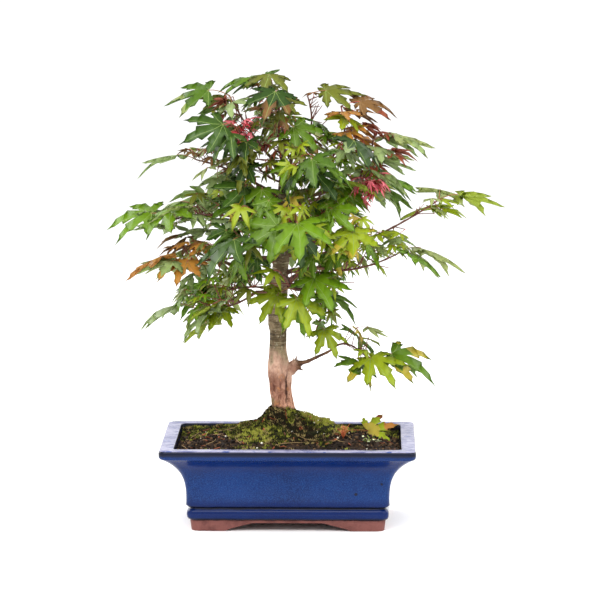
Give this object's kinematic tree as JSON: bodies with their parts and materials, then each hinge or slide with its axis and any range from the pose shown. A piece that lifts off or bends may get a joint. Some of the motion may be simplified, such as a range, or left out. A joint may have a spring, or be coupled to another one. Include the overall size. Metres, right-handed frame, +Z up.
{
  "type": "potted maple bonsai",
  "caption": "Small maple tree with a tapering trunk, forking boughs and a rounded crown of lobed leaves, standing in a glazed rectangular pot with moss.",
  "frame": {"origin": "middle of the whole plant's footprint, on the ground under the pot's feet", "axes": "+X to the right along the pot's long side, +Y to its back, +Z up the trunk"},
  "size_m": [0.34, 0.2474, 0.3808],
  "materials": {
    "glaze": "gloss",
    "terracotta": "matte",
    "soil": "matte",
    "moss": "matte",
    "bark": "matte",
    "twig_bark": "satin",
    "leaf_green": "satin",
    "leaf_dark": "satin",
    "leaf_lime": "satin",
    "leaf_bronze": "satin"
  },
  "bodies": {
    "root": {"pot_body": "glaze", "pot_base": "terracotta", "soil": "soil", "moss_mound": "moss", "trunk": "bark", "bough_stub_right": "twig_bark", "bough_low_right": "twig_bark", "bough_low_left": "twig_bark", "bough_left": "twig_bark", "bough_mid_left": "twig_bark", "bough_high_left": "twig_bark", "bough_top_left": "twig_bark", "bough_leader": "twig_bark", "bough_top_right": "twig_bark", "bough_crown_right": "twig_bark", "bough_high_right": "twig_bark", "bough_right": "twig_bark", "bough_mid_right": "twig_bark", "bough_front_high": "twig_bark", "bough_front_left": "twig_bark", "bough_front_low": "twig_bark", "bough_front_right": "twig_bark", "bough_front_top": "twig_bark", "bough_back_left": "twig_bark", "bough_back_right": "twig_bark", "bough_back": "twig_bark", "bough_back_low": "twig_bark", "bough_back_low_left": "twig_bark", "bough_back_top": "twig_bark", "foliage_stub_right": "leaf_green", "foliage_low_right": "leaf_lime", "foliage_low_left": "leaf_lime", "foliage_left": "leaf_bronze", "foliage_mid_left": "leaf_dark", "foliage_high_left": "leaf_dark", "foliage_top_left": "leaf_dark", "foliage_crown": "leaf_green", "foliage_top_right": "leaf_green", "foliage_crown_right": "leaf_bronze", "foliage_high_right": "leaf_dark", "foliage_right": "leaf_green", "foliage_mid_right": "leaf_green", "foliage_front_high": "leaf_green", "foliage_front_left": "leaf_green", "foliage_front_low": "leaf_green", "foliage_front_right": "leaf_lime", "foliage_front_top": "leaf_green", "foliage_back_left": "leaf_green", "foliage_back_right": "leaf_green", "foliage_back": "leaf_green", "foliage_back_low": "leaf_green", "foliage_back_low_left": "leaf_green", "foliage_back_top": "leaf_dark", "foliage_crown_front": "leaf_green", "foliage_shoulder_left": "leaf_green", "foliage_shoulder_right": "leaf_green", "foliage_heart_left": "leaf_green", "foliage_heart_right": "leaf_green", "fallen_leaf": "leaf_lime"}
  },
  "joints": []
}
